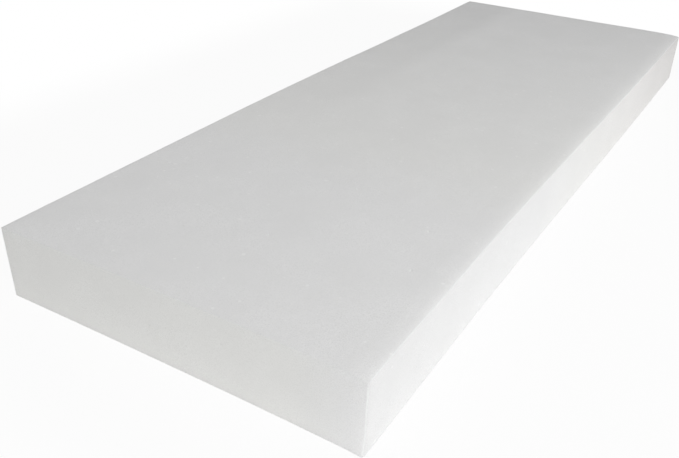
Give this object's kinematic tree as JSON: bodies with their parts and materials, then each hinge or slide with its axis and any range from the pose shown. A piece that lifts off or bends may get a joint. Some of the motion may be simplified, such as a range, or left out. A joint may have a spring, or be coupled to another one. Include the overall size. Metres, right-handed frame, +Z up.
{
  "type": "foam block",
  "caption": "Flat rectangular block of open-cell polyurethane foam with square-cut sides, used as a cushion, mattress or packing core.",
  "frame": {"origin": "middle of the bottom face, on the surface that the block lies on", "axes": "+X along the length, away from the hollow end, +Y across the width, towards the side that bows out, +Z up through the thickness"},
  "size_m": [1.829, 0.6644, 0.127],
  "materials": {
    "foam": "matt off-white open-cell polyurethane foam with fine pores and crisp cut edges"
  },
  "bodies": {
    "root": {"foam_block": "foam"}
  },
  "joints": []
}
